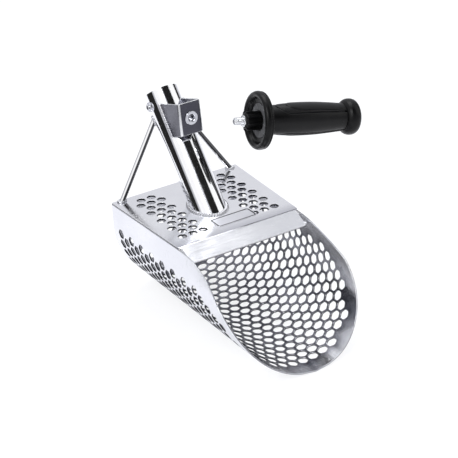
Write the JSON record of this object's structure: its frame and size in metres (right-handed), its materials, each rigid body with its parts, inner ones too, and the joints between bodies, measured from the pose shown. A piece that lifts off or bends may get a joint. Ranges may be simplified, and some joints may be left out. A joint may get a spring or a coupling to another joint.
{
  "type": "sand scoop",
  "caption": "Stainless metal-detecting sand scoop: hexagon-perforated trough, leaning pole socket with braces and bracket, and a loose screw-in side handle.",
  "frame": {"origin": "centre of the pole socket's open mouth, on the socket's axis", "axes": "+Z square to the top plate and away from the trough, -Y the way the scoop's mouth opens, +X to the right when looking into the mouth"},
  "size_m": [0.246, 0.2865, 0.2115],
  "materials": {
    "stainless_sheet": "polished sheet with fine rolling lines",
    "stainless_tube": "bright polished",
    "bracket_steel": "darker satin, brushed",
    "weld_metal": "rippled weld bead",
    "plated_stud": "bright zinc",
    "nylon_pad": "natural nylon",
    "black_plastic": "fine spark-eroded texture",
    "black_rubber": "satin rubber with moulded pattern"
  },
  "bodies": {
    "scoop": {"scoop_trough": "stainless_sheet", "back_plate": "stainless_sheet", "top_plate": "stainless_sheet", "socket_tube": "stainless_tube", "socket_weld": "weld_metal", "handle_bracket": "bracket_steel", "bracket_welds": "weld_metal", "handle_bush": "stainless_tube", "lock_boss": "stainless_tube", "brace_rod_left": "stainless_tube", "brace_rod_right": "stainless_tube", "brace_welds": "weld_metal"},
    "lock_tip": {"lock_tip": "nylon_pad"},
    "lock_screw": {"lock_screw": "plated_stud"},
    "captive_washer": {"captive_washer": "plated_stud"},
    "side_handle": {"handle_stud": "plated_stud", "handle_hub": "black_plastic", "handle_guard": "black_plastic", "handle_core": "black_plastic", "handle_grip": "black_rubber", "grip_panel_upper": "black_rubber", "grip_panel_lower": "black_rubber", "handle_end_cap": "black_rubber"}
  },
  "joints": [
    {"name": "lock_advance", "type": "slide", "parent": "scoop", "child": "lock_tip", "axis": [-1, 0, 0], "range_m": [-0.003, 0.0015]},
    {"name": "lock_turn", "type": "hinge", "parent": "lock_tip", "child": "lock_screw", "pos_m": [0, -0.00827, -0.01003], "axis": [-1, 0, 0], "range_deg": [-1100, 560]},
    {"name": "handle_offer", "type": "slide", "parent": "scoop", "child": "captive_washer", "axis": [0.9729, -0.1527, -0.1736], "range_m": [-0.03, 0]},
    {"name": "handle_spin", "type": "hinge", "parent": "captive_washer", "child": "side_handle", "pos_m": [0.03428, -0.08508, -0.01322], "axis": [0.9729, -0.1527, -0.1736], "continuous": true}
  ],
  "couplings": [
    {"joint": "lock_turn", "follows": "lock_advance", "rad_per_m": 6283.2}
  ]
}
